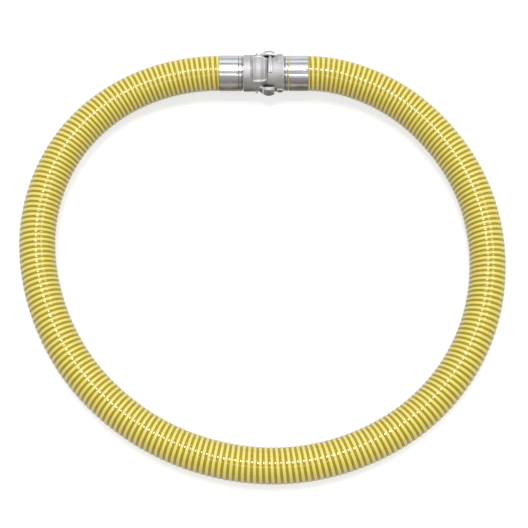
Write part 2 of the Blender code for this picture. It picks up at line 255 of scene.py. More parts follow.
def helixBand(name, line, setup, shares, heights, unshadedShares, taper):
    # a band that winds right-handed round the hose; shares are its places across one pitch
    turns = windingTable(line, setup)
    steps = setup["stepsRound"]
    first = np.arange(-steps, math.ceil(turns[-1] * steps) + steps + 1)
    here = np.interp(first / steps, turns, line.run, left=np.nan, right=np.nan)
    gap = np.interp(first / steps + 1, turns, line.run, left=np.nan, right=np.nan)
    pitch = np.where(np.isnan(gap - here), setup["pitchNear"], gap - here)
    start = np.where(np.isnan(here), np.where(first < 0, first / steps * setup["pitchNear"],
                     line.length + (first / steps - turns[-1]) * setup["pitchNear"]), here)
    distance = start[:, None] + np.array(shares)[None, :] * pitch[:, None]
    inside = np.clip(distance, 0, line.length)
    radius = np.repeat(np.array(heights)[None, :], len(first), axis=0)
    if taper:
        fromEnd = np.minimum(inside - setup["bareLeft"], line.length - setup["bareRight"] - inside)
        low = setup["outerRadius"] - setup["ribHeight"] - setup["ribRoot"]
        radius = low + (radius - low) * np.sqrt(np.clip(fromEnd / setup["endTaper"], 0, 1))
    below = 0 if taper else setup["wallBelow"]
    radius = np.minimum(radius, pressedLimit(line, setup, inside) - below)
    turn = np.repeat((2 * np.pi * first / steps)[:, None], len(shares), axis=1)
    verts = line.place(inside, turn, radius).reshape(-1, 3)
    columns = len(shares)
    rows = len(first)
    index = np.arange(rows * columns).reshape(rows, columns)
    quads = np.stack([index[:-1, :-1], index[1:, :-1], index[1:, 1:], index[:-1, 1:]], axis=-1).reshape(-1, 4)
    moved = (distance < 0).reshape(-1) | (distance > line.length).reshape(-1)
    quads = quads[~moved[quads].all(axis=1)]
    used = np.unique(quads)
    renumber = np.full(len(verts), -1)
    renumber[used] = np.arange(len(used))
    piece = addPiece(name, verts[used], renumber[quads])
    # the crown attribute is the share of the lit colour; below 1 it carries painted shade
    crown = piece.data.attributes.new("crown", "FLOAT", "POINT")
    crown.data.foreach_set("value", np.tile(np.array(unshadedShares, dtype=np.float32), rows)[used])
    return piece


def makeRibs(line, setup):
    # each rib has a low round top, and its sides fall steeply to the wall
    half = setup["ribShare"] / 2
    low = setup["outerRadius"] - setup["ribHeight"] - setup["ribRoot"]
    rise = setup["ribHeight"] + setup["ribRoot"]
    across = np.array([-x for x in setup["ribAcross"][:0:-1]] + list(setup["ribAcross"]))
    heights = low + rise * (1 - setup["ribCrown"] * across ** 2) * (1 - across ** 8) ** 0.6
    # the rib's sides get painted shade
    return helixBand("hoseRibs", line, setup, half * across, heights, 1 - across ** 4, taper=True)


def makeWall(line, setup):
    valley = setup["outerRadius"] - setup["ribHeight"]
    start = setup["valleyStart"]
    shares = np.concatenate([[0], np.linspace(start, 1 - start, setup["valleyLines"]), [1]])
    dip = setup["valleyDip"] * (np.cos(2 * np.pi * (shares - 0.5)) + 1) / 2
    # painted shade on the wall beside the ribs, full colour only in the middle of the valley
    unshadedShares = np.clip(1 - np.abs(shares - 0.5) / setup["valleyFade"], 0, 1)
    wall = helixBand("hoseWall", line, setup, shares, valley - dip, unshadedShares, taper=False)
    addBore(wall, line, setup)
    return wall


def addBore(wall, line, setup):
    # inner surface and the two cut ends
    steps = setup["stepsRound"]
    turns = np.linspace(0, 2 * np.pi, steps, endpoint=False)
    pressed = setup["pressedRadius"] - setup["wallBelow"]
    distances = np.linspace(0, line.length, setup["boreSteps"])
    rings = [(0.0, pressed)] + [(d, setup["boreRadius"]) for d in distances] + [(line.length, pressed)]
    shape = bmesh.new()
    shape.from_mesh(wall.data)
    last = None
    for distance, radius in rings:
        spots = line.place(np.full(steps, distance), turns, np.full(steps, radius))
        ring = [shape.verts.new(spot) for spot in spots]
        if last:
            for k in range(steps):
                shape.faces.new((last[k], ring[k], ring[(k + 1) % steps], last[(k + 1) % steps]))
        last = ring
    for face in shape.faces:
        face.smooth = True
    shape.to_mesh(wall.data)
    shape.free()


hoseLine = HoseLine(hoseRoute(routeSetup))
hoseWall = makeWall(hoseLine, hoseSetup)
hoseRibs = makeRibs(hoseLine, hoseSetup)
print("stage: hose wound,", round(hoseLine.length, 3), "m")

bodySetup = {
    "boreRadius": 0.0325,
    "faceDepth": 0.0005,
    "grooveInner": 0.0345,
    "grooveOuter": 0.0405,
    "grooveDepth": 0.0070,
    "flangeRadius": 0.0440,
    "flangeBack": 0.0110,
    "neckRadius": 0.0392,
    "neckEnd": 0.0519,
    "wireDepth": 0.0502,      # of the snap ring's groove
    "wireHalf": 0.0013,
    "wireCut": 0.00066,
    "tailRadius": 0.0376,
    "tailEnd": 0.1109,
    "tailOverlap": 0.001,     # the tail begins this far inside the neck
    "barbs": 3,
    "barbHeight": 0.0010,
    "stepsRound": 120,
}

clawSetup = {
    "angle": 77.0,
    "sideBevel": 0.0060,      # its face slopes down to both sides over this width
    "sideDrop": 0.0040,
    "cornerDrop": 1.4,        # beside the root it falls to this many times the drop at most
    "thinnest": 0.001,
    # outer face from the root on the flange to the tip over the other half, (radius, depth)
    "crown": [
        (0.0472, 0.0110), (0.0497, 0.0080), (0.0524, 0.0041), (0.0551, -0.0012), (0.0577, -0.0062),
        (0.0584, -0.0090), (0.0585, -0.0125), (0.0584, -0.0165), (0.0578, -0.0200), (0.0565, -0.0232),
        (0.0545, -0.0258), (0.0526, -0.0273),
    ],
    "crownSteps": 50,
    "rim": 0.0012,            # raised border round the face
    "recess": 0.0018,         # face below the border
    "recessStep": 0.0030,     # width of the slope down to it
    "rootRound": 0.0100,      # corners beside the root are this round
    "innerRadius": 0.0510,
    "footRadius": 0.0430,
    "footFront": 0.0015,
    "noseAngle": 56.0,
    "noseJoin": 0.001,        # the nose reaches this far into the claw
    "noseRadius": 0.0466,
    "noseFront": -0.0196,
    "noseTip": -0.0268,
    "stepsAcross": 124,
    "noseSteps": 24,
}

ringSetup = {
    "innerRadius": 0.0400,
    "outerRadius": 0.0460,
    "front": 0.0113,
    "back": 0.0488,
    "edge": 0.0011,
    "frontEdge": 0.0003,
    "skirtInner": 0.0416,     # behind the ring, over its snap ring
    "skirtOuter": 0.0455,
    "skirtBack": 0.0513,
    "rampRadius": 0.0500,
    "rampFront": 0.0138,
    "rampThin": 0.0042,
    "rampRise": 0.0030,
    "rampAngle": 112.0,
    "rampRunOut": 2.0,        # over which the thick end slopes down to the ring
    "padRunOut": 2.6,
    "padRadius": 0.0485,
    "padFront": 0.0346,
    "padBack": 0.0475,
    "padLead": 38.0,          # from the thick end of the ramp
    "padAngle": 83.0,
    "stepsRound": 120,
    "rampSteps": 56,
    "padSteps": 64,
    "join": 0.0010,           # ramps and pads reach this far into the ring
}

castSetup = {"softEdge": 0.0005, "softSteps": 2, "sharpFrom": 32.0}
pressSetup = {"softEdge": 0.0002, "softSteps": 2, "sharpFrom": 40.0}

# about the coupling's axis, seen along each half from the mating plane
clocking = {
    "left": {"claw": 78.4, "ring": 85.0},      # its claws lie off centre, as far as their play lets them
    "right": {"claw": 6.6, "ring": 20.0},
}


def halfPlace(side, clock):
    # local Z runs outwards along the half, local X points up and turns by the clock
    along = Vector((1 if side == "right" else -1, 0, 0))
    up = Vector((0, 0, 1))
    basis = Matrix((up, along.cross(up), along)).transposed().to_4x4()
    return Matrix.Translation((0, 0, axisHeight)) @ basis @ Matrix.Rotation(math.radians(clock), 4, "Z")


def joinHoops(shape, hoops):
    # faces from each hoop of points to the next, and from the last back to the first
    count = len(hoops[0])
    faces = []
    for here, there in zip(hoops, hoops[1:] + hoops[:1]):
        for i in range(count):
            j = (i + 1) % count
            faces.append(shape.faces.new((here[i], here[j], there[j], there[i])))
    return faces


def addTurned(shape, outline, steps):
    # a closed outline of (radius, depth) points turned about Z
    hoops = []
    for k in range(steps):
        turn = 2 * math.pi * k / steps
        across, up = math.cos(turn), math.sin(turn)
        hoops.append([shape.verts.new((radius * across, radius * up, depth)) for radius, depth in outline])
    bmesh.ops.recalc_face_normals(shape, faces=joinHoops(shape, hoops))


def addSwept(shape, outlineAt, startAngle, endAngle, steps):
    # an outline that may change with the angle, swept about Z between two angles and closed at both;
    # a third value of a point says how strongly it carries the painted highlight
    rings = []
    for k in range(steps + 1):
        share = k / steps
        turn = math.radians(startAngle + (endAngle - startAngle) * share)
        ring = []
        for radius, depth, *lipHighlight in outlineAt(share):
            ring.append(shape.verts.new((radius * math.cos(turn), radius * math.sin(turn), depth)))
            if lipHighlight:
                ring[-1][shape.verts.layers.float["lipHighlight"]] = lipHighlight[0]
        rings.append(ring)
    count = len(rings[0])
    faces = [shape.faces.new(rings[0]), shape.faces.new(list(reversed(rings[-1])))]
    for here, there in zip(rings, rings[1:]):
        for i in range(count):
            j = (i + 1) % count
            faces.append(shape.faces.new((here[i], there[i], there[j], here[j])))
    bmesh.ops.recalc_face_normals(shape, faces=faces)


def softenPiece(name, shape, place, setup):
    # every sharp edge is softened a little, as a mould or a press leaves it
    mesh = bpy.data.meshes.new(name)
    shape.to_mesh(mesh)
    shape.free()
    mesh.transform(place)
    mesh.update()
    mesh.shade_smooth()
    piece = bpy.data.objects.new(name, mesh)
    bpy.context.scene.collection.objects.link(piece)
    soften = piece.modifiers.new("soften", "BEVEL")
    soften.limit_method = "ANGLE"
    soften.angle_limit = math.radians(setup["sharpFrom"])
    soften.width = setup["softEdge"]
    soften.segments = setup["softSteps"]
    soften.harden_normals = True
    return piece


def bodyOutline(setup):
    face, groove = setup["faceDepth"], setup["grooveDepth"]
    wireFront, wireBack = setup["wireDepth"] - setup["wireHalf"], setup["wireDepth"] + setup["wireHalf"]
    neck, flange = setup["neckRadius"], setup["flangeRadius"]
    return [
        (setup["boreRadius"], face), (setup["boreRadius"], setup["neckEnd"]), (neck, setup["neckEnd"]),
        (neck, wireBack), (neck - setup["wireCut"], wireBack), (neck - setup["wireCut"], wireFront),
        (neck, wireFront), (neck, setup["flangeBack"]), (flange, setup["flangeBack"]), (flange, face),
        (setup["grooveOuter"], face), (setup["grooveOuter"], groove), (setup["grooveInner"], groove),
        (setup["grooveInner"], face),
    ]


def tailOutline(setup):
    # the barbed tail, inside the hose
    top, low = setup["tailRadius"], setup["tailRadius"] - setup["barbHeight"]
    start, end = setup["neckEnd"] - setup["tailOverlap"], setup["tailEnd"]
    step = (end - start) / (setup["barbs"] + 1)
    points = [(setup["boreRadius"], start), (setup["boreRadius"], end), (low, end)]
    for i in range(setup["barbs"]):
        crest = end - step * (i + 0.5)
        points += [(top, crest), (low, crest - setup["barbHeight"])]
    return points + [(low, start)]


def ease(value):
    share = min(max(value, 0.0), 1.0)
    return share * share * (3 - 2 * share)


def roundedCorner(acrossEdge, fromEnd, radius):
    # how far a point lies inside a rounded corner, from its distances to the two edges
    if acrossEdge > radius or fromEnd > radius:
        return acrossEdge
    return radius - math.hypot(radius - acrossEdge, radius - fromEnd)


def addClaw(shape, setup, middle):
    half = setup["angle"] / 2
    root, tip = setup["crown"][0][1], setup["crown"][-1][1]
    depths = np.linspace(root, tip, setup["crownSteps"])
    known = np.array(setup["crown"])[::-1]
    radii = np.interp(depths, known[:, 1], known[:, 0])
    reach = max(radii)

    def clawOutline(share):
        # the face drops to a bevel at both sides, and lies a little below its raised border
        offSide = math.radians((0.5 - abs(share - 0.5)) * setup["angle"]) * reach
        crown = []
        for radius, depth in zip(radii, depths):
            offRoot = root - depth + setup["sideBevel"] / 2
            offEdge = min(offSide, roundedCorner(offSide, offRoot, setup["rootRound"]))
            drop = setup["sideDrop"] * min(setup["cornerDrop"], max(0.0, 1 - offEdge / setup["sideBevel"]))
            border = min(offEdge - setup["sideBevel"] / 2, depth - tip) - setup["rim"]
            sunk = setup["recess"] * ease(border / setup["recessStep"])
            low = setup["innerRadius"] if depth < setup["footFront"] else setup["footRadius"]
            # painted highlight on the side bevels of the claw
            lipHighlight = 1 - ease((offEdge - setup["sideBevel"]) / setup["rim"])
            crown.append((max(radius - drop - sunk, low + setup["thinnest"]), depth, lipHighlight))
        inner = setup["innerRadius"]
        return crown + [
            (inner, tip), (inner, setup["footFront"]),
            (setup["footRadius"], setup["footFront"]), (setup["footRadius"], root)]

    def noseOutline(share):
        join = setup["innerRadius"] + setup["noseJoin"]
        return [
            (setup["noseRadius"], setup["noseFront"]), (join, setup["noseFront"]),
            (join, setup["noseTip"]), (setup["noseRadius"], setup["noseTip"])]

    addSwept(shape, clawOutline, middle - half, middle + half, setup["stepsAcross"])
    nose = setup["noseAngle"] / 2
    addSwept(shape, noseOutline, middle - nose, middle + nose, setup["noseSteps"])


def makeBody(side):
    place = halfPlace(side, clocking[side]["claw"])
    shape = bmesh.new()
    # share of the painted highlight on the claws' side borders
    shape.verts.layers.float.new("lipHighlight")
    addTurned(shape, bodyOutline(bodySetup), bodySetup["stepsRound"])
    addTurned(shape, tailOutline(bodySetup), bodySetup["stepsRound"])
    for middle in (0, 180):
        addClaw(shape, clawSetup, middle)
    return softenPiece(side + "CouplingBody", shape, place, castSetup)


def makeRing(side):
    setup = ringSetup
    inner, outer, edge = setup["innerRadius"], setup["outerRadius"], setup["edge"]
    front, back, root = setup["front"], setup["back"], setup["outerRadius"] - setup["join"]
    shape = bmesh.new()
    skirt, brim, frontEdge = setup["skirtInner"], setup["skirtOuter"], setup["frontEdge"]
    addTurned(shape, [
        (inner, front), (inner, back), (skirt, back), (skirt, setup["skirtBack"]), (brim, setup["skirtBack"]),
        (brim, back), (outer - edge / 2, back), (outer, back - edge), (outer, front + frontEdge),
        (outer - frontEdge, front)], setup["stepsRound"])

    def rampOutline(share):
        end = setup["rampFront"] + setup["rampThin"] + setup["rampRise"] * share
        left = min(1.0, (1 - share) * setup["rampAngle"] / setup["rampRunOut"])
        top = outer + (setup["rampRadius"] - outer) * left
        return [(root, setup["rampFront"]), (root, end), (top, end), (top, setup["rampFront"])]

    def padOutline(share):
        left = min(1.0, min(share, 1 - share) * setup["padAngle"] / setup["padRunOut"])
        top = outer + (setup["padRadius"] - outer) * left
        return [(root, setup["padFront"]), (root, setup["padBack"]), (top, setup["padBack"]),
                (top, setup["padFront"])]

    for turn in (0, 180):
        addSwept(shape, rampOutline, turn - setup["rampAngle"], turn, setup["rampSteps"])
        end = turn - setup["padLead"]
        addSwept(shape, padOutline, end - setup["padAngle"], end, setup["padSteps"])
    return softenPiece(side + "LockRing", shape, halfPlace(side, clocking[side]["ring"]), castSetup)


def addCollar(shape, side):
    # the right one is shorter and leaves a little of the hose to see
    setup = sleeveSetup
    end = setup["collarEnd"][side]
    known = setup["collar"]
    share = (end - known[0][1]) / (setup["collarEnd"]["left"] - known[0][1])
    outer = [(radius, known[0][1] + (depth - known[0][1]) * share) for radius, depth in known]
    inner = setup["innerRadius"]
    outline = [(inner, known[0][1])] + outer + [(known[-1][0], end), (inner, end)]
    addTurned(shape, outline, setup["collarSteps"])


def makeSleeve(side):
    # pressed sleeve: a round tube with a shallow flat for each jaw of the press
    setup = sleeveSetup
    edge, inner, outer = setup["edgeRound"], setup["innerRadius"], setup["outerRadius"]
    start, end = setup["start"], setup["end"]
    profile = [(inner, start, 0), (inner, end, 0)]
    for share in setup["roundShares"]:
        turn = share * math.pi / 2
        profile.append((outer - edge + edge * math.sin(turn), end - edge + edge * math.cos(turn), 1))
    profile += [(outer, end - (end - start) * k / 4, 1) for k in (1, 2, 3)]
    for share in reversed(setup["roundShares"]):
        turn = share * math.pi / 2
        profile.append((outer - edge + edge * math.sin(turn), start + edge - edge * math.cos(turn), 1))
    steps = setup["stepsRound"]
    jaw = 2 * math.pi / setup["dies"]
    shape = bmesh.new()
    hoops = []
    for k in range(steps):
        turn = 2 * math.pi * k / steps
        offSeam = (turn + jaw / 2) % jaw - jaw / 2
        flat = setup["flatDepth"] * (1 - math.cos(offSeam / jaw * 2 * math.pi)) / 2
        seam = setup["seamHeight"] * max(0, 1 - abs(offSeam) / setup["seamWidth"])
        hoop = []
        for radius, depth, outside in profile:
            reach = radius + outside * (seam - flat - setup["seamHeight"])
            hoop.append(shape.verts.new((reach * math.cos(turn), reach * math.sin(turn), depth)))
        hoops.append(hoop)
    joinHoops(shape, hoops)
    addCollar(shape, side)
    return softenPiece(side + "Sleeve", shape, halfPlace(side, setup["firstSeam"]), pressSetup)


bodies = {side: makeBody(side) for side in sides}
rings = {side: makeRing(side) for side in sides}
sleeves = {side: makeSleeve(side) for side in sides}
print("stage: coupling and sleeves made")

for side in sides:
    for piece, node, body in (
            (bodies[side], side + "_coupling_body", "hose_assembly"),
            (rings[side], side + "_lock_ring", side + "_ring"),
            (sleeves[side], side + "_ferrule", "hose_assembly")):
        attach(piece, body)
        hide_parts(node)
for piece in (hoseWall, hoseRibs):
    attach(piece, "hose_assembly")
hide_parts("hose")
# the tails are hollow, so both ends of the line lean this far towards their wall
lean = Vector((0, 0, routeSetup["endLean"]))
cordPath = [Vector(point) for point in hoseLine.points[::routeSetup["pathEvery"]]]
cordPath[0], cordPath[-1] = Vector(hoseLine.points[0]) + lean, Vector(hoseLine.points[-1]) + lean
print("stage: pieces ride on their bodies")


def startGroup(name, inputs, outputs):
    # an effect that several finishes share, with named inputs and outputs
    group = bpy.data.node_groups.new(name, "ShaderNodeTree")
    for label, value in inputs:
        socket = group.interface.new_socket(label, in_out="INPUT", socket_type="NodeSocketFloat")
        socket.default_value = value
    for label in outputs:
        group.interface.new_socket(label, in_out="OUTPUT", socket_type="NodeSocketFloat")
    return group, group.nodes.new("NodeGroupInput"), group.nodes.new("NodeGroupOutput")


def addNode(tree, kind, settings=(), sockets=()):
    node = tree.nodes.new(kind)
    for name, value in settings:
        setattr(node, name, value)
    for name, value in sockets:
        feed(tree, node, name, value)
    return node


def feed(tree, node, name, value):
    socket = node.inputs[name]
    if isinstance(value, bpy.types.NodeSocket):
        tree.links.new(value, socket)
    else:
        socket.default_value = value


def calculate(tree, operation, first, second=0.0):
    node = addNode(tree, "ShaderNodeMath", [("operation", operation)], [(0, first), (1, second)])
    return node.outputs[0]


def remap(tree, value, low, high, newLow, newHigh):
    return addNode(tree, "ShaderNodeMapRange", (), [
        ("Value", value), ("From Min", low), ("From Max", high), ("To Min", newLow), ("To Max", newHigh),
    ]).outputs["Result"]


def mixColours(tree, share, first, second):
    # sockets 6 and 7 are the node's two colours, and its output 2 is the colour they make
    node = addNode(tree, "ShaderNodeMix", [("data_type", "RGBA")], [
        ("Factor", share), (6, first), (7, second)])
    return node.outputs[2]


def noise(tree, place, scale, detail=3.0, roughness=0.5):
    return addNode(tree, "ShaderNodeTexNoise", (), [
        ("Vector", place), ("Scale", scale), ("Detail", detail), ("Roughness", roughness)]).outputs[0]


def objectPlace(tree, stretch=(1.0, 1.0, 1.0)):
    place = addNode(tree, "ShaderNodeTexCoord").outputs["Object"]
    return addNode(tree, "ShaderNodeMapping", (), [("Vector", place), ("Scale", stretch)]).outputs[0]


def makeCastGrain():
    # skin of a casting: fine grain, a few pits and broad cloudy patches
    group, given, made = startGroup(
        "castGrain", [("Grain Size", 0.0012), ("Pits", 0.5)], ["Height", "Clouds", "Pitting"])
    place = objectPlace(group)
    scale = calculate(group, "DIVIDE", 1.0, given.outputs["Grain Size"])
    grain = noise(group, place, scale, 4.0, 0.6)
    coarse = noise(group, place, calculate(group, "MULTIPLY", scale, 0.3), 3.0, 0.5)
    pits = calculate(group, "MULTIPLY", remap(group, coarse, 0.62, 0.72, 0.0, 1.0), given.outputs["Pits"])
    height = calculate(group, "SUBTRACT", grain, pits)
    feed(group, made, "Height", height)
    feed(group, made, "Pitting", pits)
    feed(group, made, "Clouds", noise(group, place, 38.0, 3.0, 0.55))
    return group


def makeHandling():
    # dust and handling marks that lie over any finish
    group, given, made = startGroup("handlingMarks", [("Amount", 0.5), ("Patch Size", 0.06)], ["Dust", "Rub"])
    place = objectPlace(group)
    amount = given.outputs["Amount"]
    scale = calculate(group, "DIVIDE", 1.0, given.outputs["Patch Size"])
    patches = remap(group, noise(group, place, scale, 4.0, 0.6), 0.45, 0.75, 0.0, 1.0)
    fine = noise(group, place, calculate(group, "MULTIPLY", scale, 18.0), 2.0)
    specks = remap(group, fine, 0.55, 0.7, 0.2, 1.0)
    dust = calculate(group, "MULTIPLY", calculate(group, "MULTIPLY", patches, specks), amount)
    feed(group, made, "Dust", dust)
    feed(group, made, "Rub", calculate(group, "MULTIPLY", noise(group, place, scale, 2.0), amount))
    return group


def makeUndersideShade():
    # painted shade: a darker brown colour on the sides and the underside, stronger the more a surface faces
    # down, in patches
    group, given, made = startGroup("undersideShade", [("Amount", 0.5), ("Patch Size", 0.02)], ["Mask"])
    facing = addNode(group, "ShaderNodeTexCoord").outputs["Normal"]
    upward = addNode(group, "ShaderNodeSeparateXYZ", (), [("Vector", facing)]).outputs["Z"]
    low = remap(group, upward, 0.85, 0.05, 0.0, 1.0)
    scale = calculate(group, "DIVIDE", 1.0, given.outputs["Patch Size"])
    patches = remap(group, noise(group, objectPlace(group), scale, 4.0, 0.6), 0.3, 0.7, 0.75, 1.15)
    feed(group, made, "Mask", calculate(
        group, "MULTIPLY", calculate(group, "MULTIPLY", low, patches), given.outputs["Amount"]))
    return group


def makeCreaseShade():
    # painted shade in the creases between metal pieces, which thins out to none where a point lies open
    group, given, made = startGroup(
        "creaseShade", [("Width", 0.005), ("Open", 0.9), ("Amount", 0.9)], ["Mask"])
    gap = addNode(group, "ShaderNodeAmbientOcclusion", [("samples", 8)], [
        ("Distance", given.outputs["Width"])])
    feed(group, made, "Mask", remap(
        group, gap.outputs["AO"], 0.3, given.outputs["Open"], given.outputs["Amount"], 0.0))
    return group


castGrain = makeCastGrain()
handlingMarks = makeHandling()
undersideShade = makeUndersideShade()
creaseShade = makeCreaseShade()


def addGroup(tree, group, sockets):
    return addNode(tree, "ShaderNodeGroup", [("node_tree", group)], sockets)


def startMaterial(name, sockets):
    material = bpy.data.materials.new(name)
    material.use_nodes = True
    tree = material.node_tree
    tree.nodes.clear()
    shader = addNode(tree, "ShaderNodeBsdfPrincipled", (), sockets)
    output = addNode(tree, "ShaderNodeOutputMaterial")
    tree.links.new(shader.outputs["BSDF"], output.inputs["Surface"])
    return material, tree, shader


def addBump(tree, shader, height, depth, strength):
    bump = addNode(tree, "ShaderNodeBump", (), [
        ("Height", height), ("Distance", depth), ("Strength", strength)])
    feed(tree, shader, "Normal", bump.outputs["Normal"])


def readAttribute(tree, name):
    return addNode(tree, "ShaderNodeAttribute", [("attribute_name", name)]).outputs["Fac"]


def addUnderShade(tree, finish, colour):
    # painted shade, darker and browner low down, over a finish's own colour
    underShade = addGroup(tree, undersideShade, [("Amount", finish["underShade"]), ("Patch Size", finish["underShadePatch"])])
    return mixColours(tree, underShade.outputs["Mask"], colour, finish["underShadeColour"])


def addMarks(tree, finish):
    marks = addGroup(tree, handlingMarks, [("Amount", finish["dust"]), ("Patch Size", finish["dustPatch"])])
    return marks.outputs


ribFinish = {
    "high": (0.845, 0.718, 0.190, 1),      # along the top of a rib, the lit colour
    "low": (0.650, 0.512, 0.028, 1),       # down its sides, painted shade
    "pale": (0.880, 0.775, 0.310, 1),      # under dust
    # colour of the painted shade on the sides and the underside
    "underShadeColour": (0.460, 0.355, 0.070, 1),
    "underShade": 0.34,                          # how strongly the painted shade darkens it low down
    "underShadePatch": 0.03,
    "dust": 0.5,
    "dustPatch": 0.05,
    "rubbedFrom": (0.1, 0.4),              # of the rub mask, over which the roughness runs
    "roughness": (0.18, 0.32),
    "innerGloss": 0.15,                    # under the clear coat
    "coat": 1.0,
    "coatRoughness": 0.07,
    "rippleScale": 420.0,
    "rippleDetail": 3.0,
    "rippleDepth": 0.00010,
    "rippleStrength": 0.25,
}

wallFinish = {
    "high": (0.400, 0.325, 0.002, 1),      # in the middle between two ribs, the lit colour
    "low": (0.240, 0.183, 0.001, 1),       # beside the ribs, painted shade
    "pale": (0.500, 0.420, 0.012, 1),
    # colour and strength of the painted shade on the sides and the underside
    "underShadeColour": (0.160, 0.120, 0.004, 1),
    "underShade": 0.34,
    "underShadePatch": 0.03,
    "dust": 0.6,
    "dustPatch": 0.04,
    "rubbedFrom": (0.1, 0.5),
    "roughness": (0.10, 0.22),
    "innerGloss": 0.1,
    "coat": 0.9,
    "coatRoughness": 0.05,
    "rippleScale": 260.0,
    "rippleDetail": 2.0,
    "rippleDepth": 0.00015,
    "rippleStrength": 0.3,
}

# the coat fades towards the outline, where the dull soft hose would mirror the floor too clearly
coatFade = {"start": 0.4, "end": 0.95, "left": 0.15}


def makeHoseMaterial(name, finish):
    material, tree, shader = startMaterial(name, [
        ("IOR", 1.4), ("Specular IOR Level", finish["innerGloss"]),
        ("Coat Roughness", finish["coatRoughness"]), ("Coat IOR", 1.48)])
    marks = addMarks(tree, finish)
    # painted shade down the rib sides and on the wall beside the ribs
    colour = mixColours(tree, readAttribute(tree, "crown"), finish["low"], finish["high"])
    colour = mixColours(tree, marks["Dust"], colour, finish["pale"])
    # painted shade low down over the hose colours
    feed(tree, shader, "Base Color", addUnderShade(tree, finish, colour))
    feed(tree, shader, "Roughness", remap(tree, marks["Rub"], *finish["rubbedFrom"], *finish["roughness"]))
    facing = addNode(tree, "ShaderNodeLayerWeight", (), [("Blend", 0.5)]).outputs["Facing"]
    feed(tree, shader, "Coat Weight", remap(
        tree, facing, coatFade["start"], coatFade["end"], finish["coat"], coatFade["left"]))
    ripple = noise(tree, objectPlace(tree), finish["rippleScale"], finish["rippleDetail"])
    addBump(tree, shader, ripple, finish["rippleDepth"], finish["rippleStrength"])
    return material


castFinish = {
    "bright": (0.590, 0.580, 0.592, 1),
    "dull": (0.535, 0.525, 0.535, 1),
    # colour of the painted shade on the sides and the underside
    "underShadeColour": (0.100, 0.082, 0.068, 1),
    "pit": (0.240, 0.230, 0.230, 1),
    # colour of the painted shade in creases
    "creaseShadeColour": (0.110, 0.100, 0.095, 1),
    # light colour of edge wear and painted highlights
    "wornAndHighlight": (0.860, 0.855, 0.860, 1),
    "grainSize": 0.0011,
    "pits": 0.45,
    "underShade": 0.95,
    "underShadePatch": 0.015,
    "dust": 0.4,
    "dustPatch": 0.02,
    "rubbedFrom": (0.1, 0.35),
    "roughness": (0.58, 0.64),
    "creaseWidth": 0.0070,
    "creaseOpen": 0.92,
    "creaseAmount": 0.9,
    "wearAndHighlightWidth": 0.0020,      # wear and painted highlight at edges, from inside the metal
    "wearAndHighlightAmount": 0.85,
    "lipHighlightAmount": 0.8,           # painted highlight on the side borders of the claws
    "wearAndHighlightPolish": 0.15,       # worn and painted-highlight places are this much smoother
    "grainDepth": 0.00018,
    "grainStrength": 0.55,
}


def makeCastMaterial(finish):
    material, tree, shader = startMaterial("castAluminium", [("Metallic", 1.0)])
    grain = addGroup(tree, castGrain, [("Grain Size", finish["grainSize"]), ("Pits", finish["pits"])]).outputs
    # painted shade in the creases
    crease = addGroup(tree, creaseShade, [
        ("Width", finish["creaseWidth"]), ("Open", finish["creaseOpen"]), ("Amount", finish["creaseAmount"])])
    # edge wear and painted highlight on convex edges
    edge = addNode(tree, "ShaderNodeAmbientOcclusion", [("samples", 8), ("inside", True)], [
        ("Distance", finish["wearAndHighlightWidth"])])
    edgeWearAndHighlight = remap(tree, edge.outputs["AO"], 0.45, 0.88, finish["wearAndHighlightAmount"], 0.0)
    # painted highlight on the claws' side borders
    lipHighlightAmount = calculate(tree, "MULTIPLY", readAttribute(tree, "lipHighlight"), finish["lipHighlightAmount"])
    wearAndHighlight = calculate(tree, "MAXIMUM", edgeWearAndHighlight, lipHighlightAmount)
    clouds = remap(tree, grain["Clouds"], 0.35, 0.65, 0.0, 1.0)
    colour = mixColours(tree, clouds, finish["dull"], finish["bright"])
    colour = mixColours(tree, grain["Pitting"], colour, finish["pit"])
    # painted shade low down
    colour = addUnderShade(tree, finish, colour)
    colour = mixColours(tree, crease.outputs["Mask"], colour, finish["creaseShadeColour"])
    feed(tree, shader, "Base Color", mixColours(tree, wearAndHighlight, colour, finish["wornAndHighlight"]))
    rough = remap(tree, addMarks(tree, finish)["Rub"], *finish["rubbedFrom"], *finish["roughness"])
    polish = calculate(tree, "MULTIPLY", wearAndHighlight, finish["wearAndHighlightPolish"])
    feed(tree, shader, "Roughness", calculate(tree, "SUBTRACT", rough, polish))
    addBump(tree, shader, grain["Height"], finish["grainDepth"], finish["grainStrength"])
    return material


sleeveFinish = {
    "bright": (0.71, 0.71, 0.735, 1),
    "dull": (0.54, 0.54, 0.565, 1),
    # colour of the painted shade in creases
    "creaseShadeColour": (0.06, 0.055, 0.05, 1),
    # colour of the painted shade on the sides and the underside
    "underShadeColour": (0.100, 0.080, 0.056, 1),
    "underShade": 1.4,
    "underShadePatch": 0.03,
    "dust": 0.4,
    "dustPatch": 0.02,
    "dustRoughness": 0.12,
    "creaseWidth": 0.0030,
    "creaseOpen": 0.9,
    "creaseAmount": 0.9,
    "roughness": 0.17,
    "streaks": 900.0,
    "streakStretch": (0.02, 1.0, 1.0),
    "streakRoughness": (-0.05, 0.06),
    "streakDepth": 0.00006,
    "streakStrength": 0.5,
}


